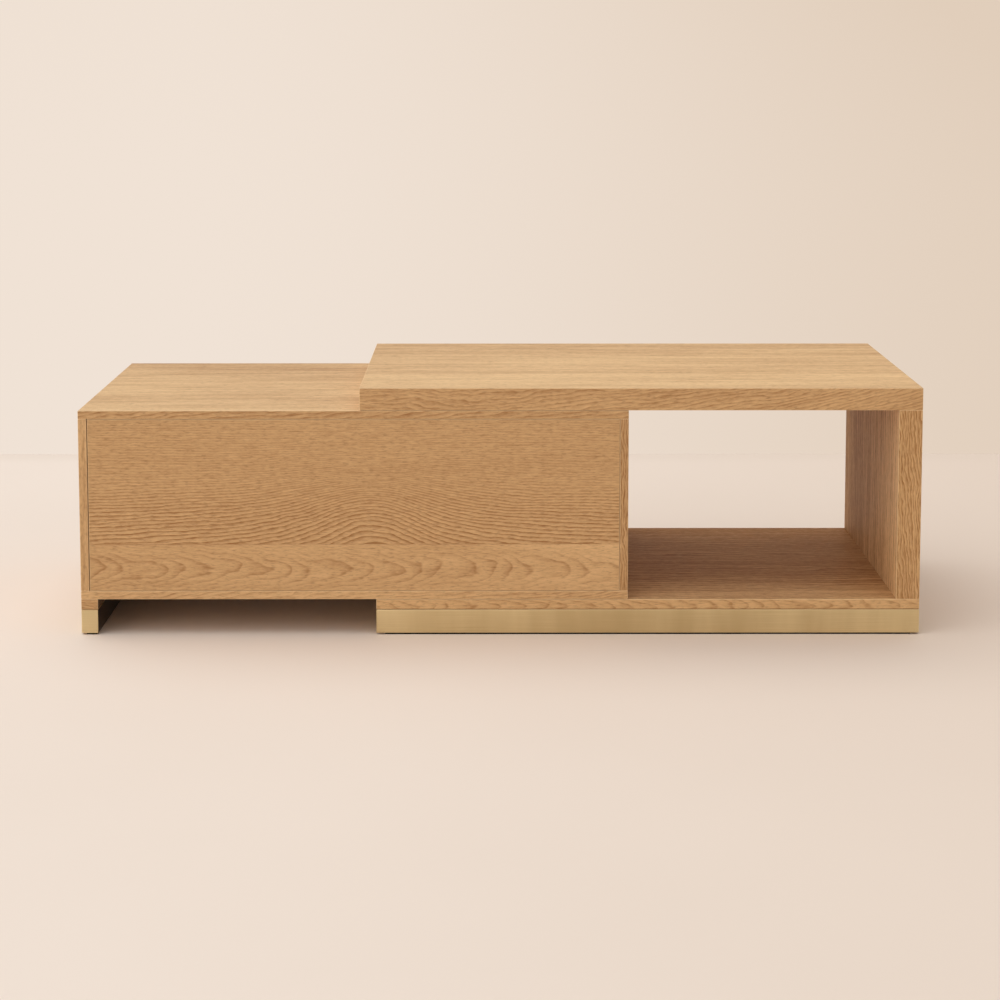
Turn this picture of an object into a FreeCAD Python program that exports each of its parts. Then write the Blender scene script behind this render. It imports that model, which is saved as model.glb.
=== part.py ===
import FreeCAD, Part
import math
import os

# Extendable coffee table. An oak bridge, which is a thick top, one thick end and a base board on a
# plinth with a brass face, stands over a box that slides out to the left on its own brass foot.
# The box holds one wide drawer on ball-bearing runners and opens with a push on its front.
#
# Units are millimetres. X runs along the table, and the box pulls out towards -X. The front is at
# -Y. Z is up, and the origin is on the floor below the middle of the extended table.

Vector = FreeCAD.Vector

# Overall sizes
extended_length = 1500.0
bridge_length = 1000.0
depth = 600.0
height = 446.0

# Boards of the bridge
top_thickness = 40.0
end_thickness = 42.0
base_thickness = 18.0
top_overhang = 28.0
arris = 0.8

# Plinth and its brass face
glide_height = 3.0
plinth_height = 43.0
plinth_rail_thickness = 18.0
brass_thickness = 1.2
brass_reveal = 1.0
brass_arris = 0.5
corner_block_leg = 46.0
glide_width = 12.0
glide_setback = 2.0
glide_corner_gap = 12.0

# Box that slides under the top
box_length = 978.0
box_board = 15.0
slide_gap = 0.5

# Foot at the pulled-out end of the box
foot_width = 30.0
foot_corner_radius = 1.5
foot_glide_width = 18.0

# Loose tongues that join the boards
tongue_thickness = 5.0
tongue_in_face = 8.0
tongue_in_edge = 14.0
tongue_end_inset = 40.0
tongue_play = 0.1

# Rubbing strips between the box and the bridge, and the bumpers that stop the box
strip_width = 16.0
strip_length = 110.0
strip_recess = 3.0
strip_end_inset = 22.0
strip_side_inset = 35.0
running_clearance = 0.2
bumper_radius = 6.0
bumper_thickness = 3.0
bumper_inset = 60.0
stop_clearance = 0.3

# Slotted tracks in the underside of the top, with the shoes that run in them
track_inset = 120.0
track_width = 22.0
track_depth = 13.0
track_roof = 2.5
track_wall = 1.5
track_mouth = 9.0
track_end_gap = 8.0
track_stop_length = 14.0
shoe_length = 60.0
shoe_plate_width = 30.0
shoe_plate_thickness = 5.0
shoe_neck_width = 8.0
shoe_head_height = 5.5
shoe_play = 0.3
shoe_end_inset = 20.0

# Guide block on the base board, with its groove under the box
guide_length = 50.0
guide_width = 16.0
guide_recess = 6.0
guide_rise = 7.0
guide_play = 0.3
guide_end_inset = 15.0
guide_headroom = 1.0

# Drawer. The gap round its front is a hair wide, and a little wider on the left.
drawer_reveal = 0.6
drawer_left_reveal = 1.4
drawer_front_thickness = 18.0
drawer_board = 15.0
drawer_lift = 12.0
drawer_headroom = 28.0
drawer_bottom_thickness = 6.0
drawer_bottom_lift = 12.0
drawer_groove_depth = 7.0
drawer_groove_play = 0.1

# Ball-bearing runners: a cabinet member, a middle member and a drawer member, one inside the other
runner_thickness = 12.7
runner_height = 45.0
runner_front_gap = 2.0
runner_end_gap = 20.0
runner_wall = 1.2
runner_bend = 0.5
runner_lip = 3.0
cabinet_member_setback = 1.7
middle_member_setback = 1.5
member_gap = 0.2
runner_window_length = 26.0
runner_window_height = 13.0
runner_window_inset = 45.0
runner_window_count = 3

# Balls and their cages
ball_radius = 1.75
ball_play = 0.1
race_depth = 0.3
cage_wall = 0.6
cage_setback = 0.35
cage_end_gap = 5.0
cage_ball_inset = 24.0
cage_balls_per_row = 4
ball_ring_corners = 8
ball_ring_latitudes = (-67.5, -22.5, 22.5, 67.5)

# Push latches behind the drawer
latch_end_inset = 224.0
latch_plate_width = 44.0
latch_plate_height = 22.0
latch_plate_thickness = 3.0
latch_barrel_radius = 7.0
latch_barrel_length = 34.0
latch_bore_depth = 30.0
latch_plunger_radius = 4.0
latch_plunger_play = 0.1
latch_tip_chamfer = 1.0
latch_reach = 8.0
latch_press = 2.5
latch_tip_gap = 0.3

# How far a cut runs past the face that it leaves by
overrun = 5.0

# Levels, from the floor up
plinth_top = glide_height + plinth_height
brass_top = plinth_top - brass_reveal
base_top = plinth_top + base_thickness
box_floor = base_top + slide_gap
box_inner_floor = box_floor + box_board
top_underside = height - top_thickness
box_top_level = top_underside - slide_gap
box_inner_ceiling = box_top_level - box_board

# Faces from left to right
left_end = -extended_length / 2
right_end = extended_length / 2
bridge_left = right_end - bridge_length
base_left = bridge_left + top_overhang
end_inner = right_end - end_thickness
box_right = left_end + box_length
box_inner_left = left_end + box_board
box_inner_right = box_right - box_board
foot_right = left_end + foot_width

# Faces from front to back
front = -depth / 2
back = depth / 2
box_inner_back = back - box_board

# The box closes until its bumpers meet the end panel or its foot meets the base board
travel_to_end_panel = end_inner - box_right - bumper_thickness - stop_clearance
travel_to_base_board = base_left - foot_right - stop_clearance
slide_travel = min(travel_to_end_panel, travel_to_base_board)

# Plinth rails stand inside the brass
rail_left = base_left + brass_thickness
rail_right = right_end - brass_thickness
rail_front = front + brass_thickness
rail_back = back - brass_thickness
plinth_inner_front = rail_front + plinth_rail_thickness
plinth_inner_back = rail_back - plinth_rail_thickness
plinth_inner_left = rail_left + plinth_rail_thickness
plinth_inner_right = rail_right - plinth_rail_thickness
plinth_middle = (rail_left + rail_right) / 2

# Tracks, shoes and the guide block
track_rows = (front + track_inset, back - track_inset)
shoe_right = box_right - shoe_end_inset
shoe_left = shoe_right - shoe_length
track_stop_right = shoe_left - stop_clearance
track_left = track_stop_right - track_stop_length
track_right = end_inner - track_end_gap
track_inside_half = track_width / 2 - track_wall
track_inside_floor = top_underside + track_wall
track_inside_ceiling = top_underside + track_depth - track_roof
guide_left = base_left + guide_end_inset
guide_right = guide_left + guide_length
guide_top = base_top + guide_rise

# Drawer body, behind its front and between its runners
drawer_front_back = front + drawer_front_thickness
latch_mouth = box_inner_back - latch_plate_thickness - latch_barrel_length
drawer_back_face = latch_mouth - latch_reach
drawer_left = box_inner_left + runner_thickness
drawer_right = box_inner_right - runner_thickness
drawer_low = box_inner_floor + drawer_lift
drawer_high = box_inner_ceiling - drawer_headroom
drawer_inner_left = drawer_left + drawer_board
drawer_inner_right = drawer_right - drawer_board
drawer_inner_front = drawer_front_back + drawer_board
drawer_inner_back = drawer_back_face - drawer_board
drawer_bottom_low = drawer_low + drawer_bottom_lift
drawer_bottom_high = drawer_bottom_low + drawer_bottom_thickness

# Runners, in a section seen from the front: x starts at the box end and grows towards the drawer,
# and z is measured from the runner's middle
runner_front = drawer_front_back + runner_front_gap
runner_back = drawer_back_face - runner_end_gap
runner_length = runner_back - runner_front
runner_middle_y = (runner_front + runner_back) / 2
runner_middle_z = (drawer_low + drawer_high) / 2
cabinet_reach = runner_thickness - cabinet_member_setback
middle_reach = runner_thickness - middle_member_setback
outer_cage_web = runner_wall + member_gap
middle_web = outer_cage_web + cage_wall + member_gap
inner_cage_web = middle_web + runner_wall + member_gap
drawer_member_edge = inner_cage_web + cage_wall + member_gap
outer_cage_reach = cabinet_reach - runner_wall - cage_setback
inner_cage_reach = middle_reach - runner_wall - cage_setback
ball_to_face = ball_radius + ball_play - race_depth
outer_ball_z = runner_height / 2 - runner_wall - ball_to_face
middle_half = outer_ball_z - ball_to_face
inner_ball_z = middle_half - runner_wall - ball_to_face
drawer_member_half = inner_ball_z - ball_to_face
outer_ball_x = (outer_cage_web + cage_wall + outer_cage_reach) / 2
inner_ball_x = (inner_cage_web + cage_wall + inner_cage_reach) / 2
cage_length = runner_length / 2 - 2 * cage_end_gap

up = Vector(0, 0, 1)
backward = Vector(0, 1, 0)
to_the_right = Vector(1, 0, 0)


def block(x0, x1, y0, y1, z0, z1):
    return Part.makeBox(x1 - x0, y1 - y0, z1 - z0, Vector(x0, y0, z0))


# A block whose twelve edges are eased
def board(x0, x1, y0, y1, z0, z1, easing=arris):
    blank = block(x0, x1, y0, y1, z0, z1)
    return blank.makeChamfer(easing, blank.Edges)


# A block whose four upright edges are rounded
def round_cornered_block(x0, x1, y0, y1, z0, z1, radius):
    blank = block(x0, x1, y0, y1, z0, z1)
    upright = [edge for edge in blank.Edges if edge.BoundBox.ZLength > (z1 - z0) / 2]
    return blank.makeFillet(radius, upright)


def rod(radius, length, start, direction):
    return Part.makeCylinder(radius, length, start, direction)


def spread(low, high, count):
    return [low + (high - low) * i / (count - 1) for i in range(count)]


# A flat face inside the corners, where each corner is a point with the radius that rounds it
def rounded_face(corners):
    edges = []
    last = None
    first = None
    for i, (corner, radius) in enumerate(corners):
        before = (corners[i - 1][0] - corner).normalize()
        after = (corners[(i + 1) % len(corners)][0] - corner).normalize()
        half_angle = before.getAngle(after) / 2
        start = corner + before * (radius / math.tan(half_angle))
        end = corner + after * (radius / math.tan(half_angle))
        if last:
            edges.append(Part.LineSegment(last, start).toShape())
        if radius:
            middle = corner + (before + after).normalize() * (radius / math.sin(half_angle) - radius)
            edges.append(Part.Arc(start, middle, end).toShape())
        first = first or start
        last = end
    edges.append(Part.LineSegment(last, first).toShape())
    return Part.Face(Part.Wire(edges))


# A bar of constant section. The section's corners are given as x, z and rounding radius.
def bar_along_y(section, y0, y1):
    face = rounded_face([(Vector(x, y0, z), radius) for x, z, radius in section])
    return face.extrude(Vector(0, y1 - y0, 0))


# The same along X, with the section's corners as y, z and rounding radius
def bar_along_x(section, x0, x1):
    face = rounded_face([(Vector(x0, y, z), radius) for y, z, radius in section])
    return face.extrude(Vector(x1 - x0, 0, 0))


def save(name, *solids):
    shape = solids[0] if len(solids) == 1 else Part.makeCompound(list(solids))
    shape.exportStep(os.path.join("parts", name + ".step"))


# A tongue across a joint at x and z. It reaches deeper into the board that is joined by its edge.
def tongue(x, z, edge_is_below, play=0.0):
    below = tongue_in_edge if edge_is_below else tongue_in_face
    above = tongue_in_face if edge_is_below else tongue_in_edge
    half = tongue_thickness / 2 + play
    return block(
        x - half, x + half,
        front + tongue_end_inset - play, back - tongue_end_inset + play,
        z - below - play, z + above + play,
    )


end_panel_joint = end_inner + end_thickness / 2
box_end_joints = (left_end + box_board / 2, box_right - box_board / 2)


# Two rubbing strips across the table, let into a face and standing almost as proud as the slide gap
def strips(x, face, outward):
    proud = slide_gap - running_clearance
    low = min(face - outward * strip_recess, face + outward * proud)
    high = max(face - outward * strip_recess, face + outward * proud)
    starts = (front + strip_side_inset, back - strip_side_inset - strip_length)
    return [block(x, x + strip_width, y, y + strip_length, low, high) for y in starts]


def top_strips():
    return strips(bridge_left + strip_end_inset, top_underside, -1)


def base_strips():
    return strips(base_left + strip_end_inset, base_top, 1)


def box_strips():
    return strips(box_right - strip_end_inset - strip_width, box_floor, -1)


# The bridge's three boards
def top_panel():
    panel = board(bridge_left, right_end, front, back, top_underside, height)
    for y in track_rows:
        panel = panel.cut(block(track_left, track_right, y - track_width / 2, y + track_width / 2,
                                top_underside - overrun, top_underside + track_depth))
    for strip in top_strips():
        panel = panel.cut(strip)
    return panel.cut(tongue(end_panel_joint, top_underside, True, tongue_play))


def end_panel():
    panel = board(end_inner, right_end, front, back, base_top, top_underside)
    panel = panel.cut(tongue(end_panel_joint, top_underside, True, tongue_play))
    return panel.cut(tongue(end_panel_joint, base_top, False, tongue_play))


def base_board():
    panel = board(base_left, right_end, front, back, plinth_top, base_top)
    panel = panel.cut(block(guide_left, guide_right, -guide_width / 2, guide_width / 2,
                            base_top - guide_recess, base_top + overrun))
    for strip in base_strips():
        panel = panel.cut(strip)
    return panel.cut(tongue(end_panel_joint, base_top, False, tongue_play))


# Plinth: three cross rails between a front and a back rail
def plinth_long_rail(y0):
    return board(rail_left, rail_right, y0, y0 + plinth_rail_thickness, glide_height, plinth_top)


def plinth_cross_rail(x0):
    return board(x0, x0 + plinth_rail_thickness, plinth_inner_front, plinth_inner_back, glide_height, plinth_top)


# A triangular glue block in an inner corner of the plinth, with its legs along the two rails
def corner_block(x, y, side_x, side_y):
    corner = Vector(x, y, glide_height)
    leg_x = corner + Vector(side_x * corner_block_leg, 0, 0)
    leg_y = corner + Vector(0, side_y * corner_block_leg, 0)
    outline = Part.makePolygon([corner, leg_x, leg_y, corner])
    return Part.Face(outline).extrude(up * plinth_height)


def corner_blocks():
    columns = ((plinth_inner_left, 1), (plinth_inner_right, -1))
    rows = ((plinth_inner_front, 1), (plinth_inner_back, -1))
    return [corner_block(x, y, side_x, side_y) for x, side_x in columns for y, side_y in rows]


def brass_long_strip(y0):
    return board(base_left, right_end, y0, y0 + brass_thickness, glide_height, brass_top, brass_arris)


def brass_end_strip(x0):
    return board(x0, x0 + brass_thickness, rail_front, rail_back, glide_height, brass_top, brass_arris)


# Dark glide strips under the four sides of the plinth, set back from the brass and open at the corners
def plinth_glides():
    x0 = rail_left + glide_setback
    x1 = rail_right - glide_setback
    y0 = rail_front + glide_setback
    y1 = rail_back - glide_setback
    short_start = glide_width + glide_corner_gap
    long_strips = [block(x0 + glide_corner_gap, x1 - glide_corner_gap, y, y + glide_width, 0, glide_height)
                   for y in (y0, y1 - glide_width)]
    short_strips = [block(x, x + glide_width, y0 + short_start, y1 - short_start, 0, glide_height)
                    for x in (x0, x1 - glide_width)]
    return long_strips + short_strips


# An aluminium channel that opens downwards through a slot narrower than its inside
def track(y):
    half = track_width / 2
    mouth = track_mouth / 2
    inside = track_inside_half
    section = [
        (y - mouth, top_underside, 0), (y - half, top_underside, 0),
        (y - half, top_underside + track_depth, 0), (y + half, top_underside + track_depth, 0),
        (y + half, top_underside, 0), (y + mouth, top_underside, 0),
        (y + mouth, track_inside_floor, 0), (y + inside, track_inside_floor, 0),
        (y + inside, track_inside_ceiling, 0), (y - inside, track_inside_ceiling, 0),
        (y - inside, track_inside_floor, 0), (y - mouth, track_inside_floor, 0),
    ]
    return bar_along_x(section, track_left, track_right)


# A block in the left end of a track, so that the box can't be pulled right out
def track_stop(y):
    half = track_inside_half - shoe_play
    return block(track_left, track_stop_right, y - half, y + half, track_inside_floor, track_inside_ceiling)


def guide_block():
    return board(guide_left, guide_right, -guide_width / 2, guide_width / 2,
                 base_top - guide_recess, guide_top)


# The box's boards: top and bottom run right through, and the ends and the back stand between them
def box_top():
    panel = board(left_end, box_right, front, back, box_inner_ceiling, box_top_level)
    for y in track_rows:
        panel = panel.cut(block(shoe_left, shoe_right, y - shoe_plate_width / 2, y + shoe_plate_width / 2,
                                box_top_level - shoe_plate_thickness, box_top_level + overrun))
    for x in box_end_joints:
        panel = panel.cut(tongue(x, box_inner_ceiling, True, tongue_play))
    return panel


def box_bottom():
    panel = board(left_end, box_right, front, back, box_floor, box_inner_floor)
    groove_half = guide_width / 2 + guide_play
    panel = panel.cut(block(guide_left - slide_travel - guide_play, guide_right + guide_play,
                            -groove_half, groove_half, box_floor - overrun, guide_top + guide_headroom))
    for strip in box_strips():
        panel = panel.cut(strip)
    for x in box_end_joints:
        panel = panel.cut(tongue(x, box_inner_floor, False, tongue_play))
    return panel


def box_end(x0, joint):
    panel = board(x0, x0 + box_board, front, back, box_inner_floor, box_inner_ceiling)
    panel = panel.cut(tongue(joint, box_inner_ceiling, True, tongue_play))
    return panel.cut(tongue(joint, box_inner_floor, False, tongue_play))


def box_back():
    return board(box_inner_left, box_inner_right, box_inner_back, back, box_inner_floor, box_inner_ceiling)


# Foot: an oak rail under the box, and below it a core in a folded brass sleeve
def foot_rail():
    return board(left_end, foot_right, front, back, plinth_top, box_floor)


def foot_core():
    return round_cornered_block(
        left_end + brass_thickness, foot_right - brass_thickness, rail_front, rail_back,
        glide_height, plinth_top, max(foot_corner_radius - brass_thickness, brass_arris),
    )


def foot_sleeve():
    outside = round_cornered_block(left_end, foot_right, front, back, glide_height, brass_top,
                                   foot_corner_radius)
    return outside.cut(foot_core())


def foot_glide():
    x1 = foot_right - brass_thickness - glide_setback
    return block(x1 - foot_glide_width, x1, rail_front + glide_setback, rail_back - glide_setback,
                 0, glide_height)


# A nylon shoe: its plate lies flush in the top of the box, and its T-shaped head runs in a track
def guide_shoe(y):
    plate = shoe_plate_width / 2
    neck = shoe_neck_width / 2
    head = track_inside_half - shoe_play
    plate_low = box_top_level - shoe_plate_thickness
    head_low = track_inside_floor + shoe_play
    head_high = head_low + shoe_head_height
    section = [
        (y - plate, plate_low, 0), (y + plate, plate_low, 0), (y + plate, box_top_level, 0),
        (y + neck, box_top_level, 0), (y + neck, head_low, 0), (y + head, head_low, arris),
        (y + head, head_high, arris), (y - head, head_high, arris), (y - head, head_low, arris),
        (y - neck, head_low, 0), (y - neck, box_top_level, 0), (y - plate, box_top_level, 0),
    ]
    return bar_along_x(section, shoe_left, shoe_right)


def bumpers():
    rows = (front + bumper_inset, back - bumper_inset)
    levels = (box_floor + bumper_inset, box_top_level - bumper_inset)
    return [rod(bumper_radius, bumper_thickness, Vector(box_right, y, z), to_the_right)
            for y in rows for z in levels]


# The space that the drawer's bottom panel takes up in the grooves of the four boards round it
def bottom_panel_space(play=0.0):
    reach = drawer_groove_depth - drawer_groove_play + play
    return block(
        drawer_inner_left - reach, drawer_inner_right + reach,
        drawer_inner_front - reach, drawer_inner_back + reach,
        drawer_bottom_low - play, drawer_bottom_high + play,
    )


def drawer_front():
    return board(box_inner_left + drawer_left_reveal, box_inner_right - drawer_reveal,
                 front, drawer_front_back,
                 box_inner_floor + drawer_reveal, box_inner_ceiling - drawer_reveal)


def drawer_side(x0):
    side = board(x0, x0 + drawer_board, drawer_front_back, drawer_back_face, drawer_low, drawer_high)
    return side.cut(bottom_panel_space(drawer_groove_play))


def drawer_cross_board(y0):
    cross = board(drawer_inner_left, drawer_inner_right, y0, y0 + drawer_board, drawer_low, drawer_high)
    return cross.cut(bottom_panel_space(drawer_groove_play))


# A rolled steel channel with its web at one x, its flanges reaching to another and lips turned inwards
def lipped_channel(web, reach, half):
    bend = runner_bend + runner_wall
    inner = half - runner_wall
    lip = half - runner_lip
    outside = [(reach, lip, 0), (reach, half, bend), (web, half, bend)]
    inside = [(web + runner_wall, inner, runner_bend), (reach - runner_wall, inner, runner_bend),
              (reach - runner_wall, lip, 0)]
    outside_below = [(x, -z, radius) for x, z, radius in reversed(outside)]
    inside_below = [(x, -z, radius) for x, z, radius in reversed(inside)]
    return bar_along_y(outside + outside_below + inside_below + inside, runner_front, runner_back)


# The drawer member has its web against the drawer and plain flanges that reach into the middle member
def plain_channel(web, edge, half):
    bend = runner_bend + runner_wall
    inner = half - runner_wall
    section = [
        (edge, half, 0), (edge, inner, 0), (web - runner_wall, inner, runner_bend),
        (web - runner_wall, -inner, runner_bend), (edge, -inner, 0), (edge, -half, 0),
        (web, -half, bend), (web, half, bend),
    ]
    return bar_along_y(section, runner_front, runner_back)


# Cuts the two grooves that a pair of ball rows runs in
def with_races(member, ball_x, ball_z):
    for z in (-ball_z, ball_z):
        groove = rod(ball_radius + ball_play, runner_length + 2 * overrun,
                     Vector(ball_x, runner_front - overrun, z), backward)
        member = member.cut(groove)
    return member


# Cuts the windows that give access to the screws
def with_windows(member):
    half = runner_window_length / 2
    for y in spread(runner_front + runner_window_inset, runner_back - runner_window_inset, runner_window_count):
        member = member.cut(block(0, runner_thickness, y - half, y + half,
                                  -runner_window_height / 2, runner_window_height / 2))
    return member


def cabinet_member():
    channel = lipped_channel(0, cabinet_reach, runner_height / 2)
    return with_races(channel, outer_ball_x, outer_ball_z)


def middle_member():
    channel = lipped_channel(middle_web, middle_reach, middle_half)
    channel = with_races(channel, outer_ball_x, outer_ball_z)
    channel = with_races(channel, inner_ball_x, inner_ball_z)
    return with_windows(channel)


def drawer_member():
    channel = plain_channel(runner_thickness, drawer_member_edge, drawer_member_half)
    return with_races(channel, inner_ball_x, inner_ball_z)


# A ball with flat faces, whose corners lie on the round ball: a loft through rings from pole to pole
def ball(x, y, z):
    rings = []
    for latitude in ball_ring_latitudes:
        ring_radius = ball_radius * math.cos(math.radians(latitude))
        ring_z = z + ball_radius * math.sin(math.radians(latitude))
        turns = [2 * math.pi * i / ball_ring_corners for i in range(ball_ring_corners)]
        ring = [Vector(x + ring_radius * math.cos(t), y + ring_radius * math.sin(t), ring_z) for t in turns]
        rings.append(Part.makePolygon(ring + ring[:1]))
    return Part.makeLoft(rings, True, True)


# A cage: a thin channel with a window for each ball, followed by its balls
def caged_balls(web, reach, ball_x, ball_z):
    outer = ball_z + cage_wall / 2
    inner = ball_z - cage_wall / 2
    cage_start = runner_middle_y - cage_length / 2
    cage_end = runner_middle_y + cage_length / 2
    section = [
        (web, outer, 0), (web, -outer, 0), (reach, -outer, 0), (reach, -inner, 0),
        (web + cage_wall, -inner, 0), (web + cage_wall, inner, 0), (reach, inner, 0), (reach, outer, 0),
    ]
    cage = bar_along_y(section, cage_start, cage_end)
    window = ball_radius + ball_play
    balls = []
    for y in spread(cage_start + cage_ball_inset, cage_end - cage_ball_inset, cage_balls_per_row):
        cage = cage.cut(block(ball_x - window, ball_x + window, y - window, y + window,
                              -runner_height, runner_height))
        balls += [ball(ball_x, y, -ball_z), ball(ball_x, y, ball_z)]
    return [cage] + balls


# Puts a shape drawn in the runner's own section against the left or the right end of the box
def on_side(shape, side):
    placed = shape.copy()
    if side == "right":
        placed = placed.mirror(Vector(0, 0, 0), to_the_right)
    wall = box_inner_left if side == "left" else box_inner_right
    placed.translate(Vector(wall, 0, runner_middle_z))
    return placed


# A push latch: a barrel on a plate that is screwed to the back of the box
def latch_body(x):
    plate = board(x - latch_plate_width / 2, x + latch_plate_width / 2,
                  box_inner_back - latch_plate_thickness, box_inner_back,
                  runner_middle_z - latch_plate_height / 2, runner_middle_z + latch_plate_height / 2)
    mouth = Vector(x, latch_mouth, runner_middle_z)
    barrel = rod(latch_barrel_radius, latch_barrel_length + latch_plate_thickness / 2, mouth, backward)
    bore = rod(latch_plunger_radius + latch_plunger_play, latch_bore_depth, mouth, backward)
    return plate.fuse(barrel).cut(bore)


# Its sprung plunger, with the tip just clear of the closed drawer
def latch_plunger(x):
    tip = drawer_back_face + latch_tip_gap
    tail = latch_mouth + latch_bore_depth - latch_press - stop_clearance
    plunger = rod(latch_plunger_radius, tail - tip, Vector(x, tip, runner_middle_z), backward)
    tip_edge = [edge for edge in plunger.Edges if edge.BoundBox.YMax < (tip + tail) / 2]
    return plunger.makeChamfer(latch_tip_chamfer, tip_edge)


def build_bridge():
    save("top_panel", top_panel())
    save("end_panel", end_panel())
    save("base_board", base_board())
    save("bridge_tongues", tongue(end_panel_joint, top_underside, True), tongue(end_panel_joint, base_top, False))
    save("plinth_front_rail", plinth_long_rail(rail_front))
    save("plinth_back_rail", plinth_long_rail(plinth_inner_back))
    save("plinth_left_rail", plinth_cross_rail(rail_left))
    save("plinth_middle_rail", plinth_cross_rail(plinth_middle - plinth_rail_thickness / 2))
    save("plinth_right_rail", plinth_cross_rail(plinth_inner_right))
    save("plinth_corner_blocks", *corner_blocks())
    save("plinth_brass_front", brass_long_strip(front))
    save("plinth_brass_back", brass_long_strip(rail_back))
    save("plinth_brass_left", brass_end_strip(base_left))
    save("plinth_brass_right", brass_end_strip(rail_right))
    save("plinth_glides", *plinth_glides())
    for place, y in zip(("front", "back"), track_rows):
        save(place + "_track", track(y))
        save(place + "_track_stop", track_stop(y))
    save("guide_block", guide_block())
    save("top_slide_strips", *top_strips())
    save("base_slide_strips", *base_strips())


def build_box():
    save("box_top", box_top())
    save("box_bottom", box_bottom())
    save("box_left_end", box_end(left_end, box_end_joints[0]))
    save("box_right_end", box_end(box_inner_right, box_end_joints[1]))
    save("box_back", box_back())
    save("box_tongues",
         *[tongue(x, box_inner_ceiling, True) for x in box_end_joints],
         *[tongue(x, box_inner_floor, False) for x in box_end_joints])
    save("foot_rail", foot_rail())
    save("foot_core", foot_core())
    save("foot_brass_sleeve", foot_sleeve())
    save("foot_glide", foot_glide())
    for place, y in zip(("front", "back"), track_rows):
        save(place + "_guide_shoe", guide_shoe(y))
    save("box_slide_strips", *box_strips())
    save("box_bumpers", *bumpers())


def build_drawer():
    save("drawer_front", drawer_front())
    save("drawer_inner_front", drawer_cross_board(drawer_front_back))
    save("drawer_left_side", drawer_side(drawer_left))
    save("drawer_right_side", drawer_side(drawer_inner_right))
    save("drawer_back", drawer_cross_board(drawer_inner_back))
    save("drawer_bottom", bottom_panel_space())


def build_runners():
    outer_cage = caged_balls(outer_cage_web, outer_cage_reach, outer_ball_x, outer_ball_z)
    inner_cage = caged_balls(inner_cage_web, inner_cage_reach, inner_ball_x, inner_ball_z)
    for side in ("left", "right"):
        save(side + "_cabinet_member", on_side(cabinet_member(), side))
        save(side + "_outer_ball_cage", *[on_side(solid, side) for solid in outer_cage])
        save(side + "_middle_member", on_side(middle_member(), side))
        save(side + "_inner_ball_cage", *[on_side(solid, side) for solid in inner_cage])
        save(side + "_drawer_member", on_side(drawer_member(), side))


def build_latches():
    places = {"left": box_inner_left + latch_end_inset, "right": box_inner_right - latch_end_inset}
    for side, x in places.items():
        save(side + "_latch_body", latch_body(x))
        save(side + "_latch_plunger", latch_plunger(x))


os.makedirs("parts", exist_ok=True)
build_bridge()
build_box()
build_drawer()
build_runners()
build_latches()
print("the box travels", round(slide_travel, 1), "and each runner is", round(runner_length, 1), "long")
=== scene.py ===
import math
from types import SimpleNamespace as Values

import bpy
from bpy.props import FloatProperty, FloatVectorProperty, IntProperty, PointerProperty
from mathutils import Matrix, Vector


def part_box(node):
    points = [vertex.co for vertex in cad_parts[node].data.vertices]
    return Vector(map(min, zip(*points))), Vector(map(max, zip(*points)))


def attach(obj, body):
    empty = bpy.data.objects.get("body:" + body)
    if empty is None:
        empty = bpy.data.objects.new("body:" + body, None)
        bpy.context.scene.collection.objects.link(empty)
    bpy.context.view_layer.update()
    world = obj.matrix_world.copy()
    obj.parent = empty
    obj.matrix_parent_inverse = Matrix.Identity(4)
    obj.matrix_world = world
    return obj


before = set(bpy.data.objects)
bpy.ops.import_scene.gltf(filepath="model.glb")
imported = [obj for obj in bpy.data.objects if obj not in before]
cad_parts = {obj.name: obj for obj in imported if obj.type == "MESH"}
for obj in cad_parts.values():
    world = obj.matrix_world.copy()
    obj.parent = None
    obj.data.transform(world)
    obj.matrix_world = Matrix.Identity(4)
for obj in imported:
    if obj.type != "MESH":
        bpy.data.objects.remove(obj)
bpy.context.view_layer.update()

bl_info = {
    "name": "Extendable coffee table",
    "version": (1, 0, 0),
    "blender": (4, 5, 0),
    "location": "View3D > Sidebar > Table",
    "description": "Oak veneer, brass and fittings for an extendable coffee table",
    "category": "Object",
}


# The curve between the levels of a screen and linear light.
SCREEN_LEVELS = 255
CURVE_KNEE = 0.04045
CURVE_SLOPE = 12.92
CURVE_OFFSET = 0.055
CURVE_POWER = 2.4


def linear(level):
    """The linear light of a screen's level, 0 to 255."""
    share = level / SCREEN_LEVELS
    if share <= CURVE_KNEE:
        return share / CURVE_SLOPE
    return ((share + CURVE_OFFSET) / (1 + CURVE_OFFSET)) ** CURVE_POWER


def tone_property(name, description, *screen):
    """A colour, given as it looks on a screen."""
    return FloatVectorProperty(
        name=name, description=description, default=[linear(level) for level in screen],
        subtype="COLOR", size=3, min=0.0, max=1.0,
    )


# Kinds of setting.
LENGTH = dict(min=0.0, subtype="DISTANCE", unit="LENGTH")
PLACE = dict(subtype="DISTANCE", unit="LENGTH")
ANGLE = dict(subtype="ANGLE", unit="ROTATION")
SHARE = dict(min=0.0, max=1.0, subtype="FACTOR")
LENS = dict(subtype="DISTANCE_CAMERA")
STRENGTH = dict(min=0.0)
NUMBER = dict()


def setting(kind, name, description, default):
    return FloatProperty(name=name, description=description, default=default, **kind)


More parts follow.
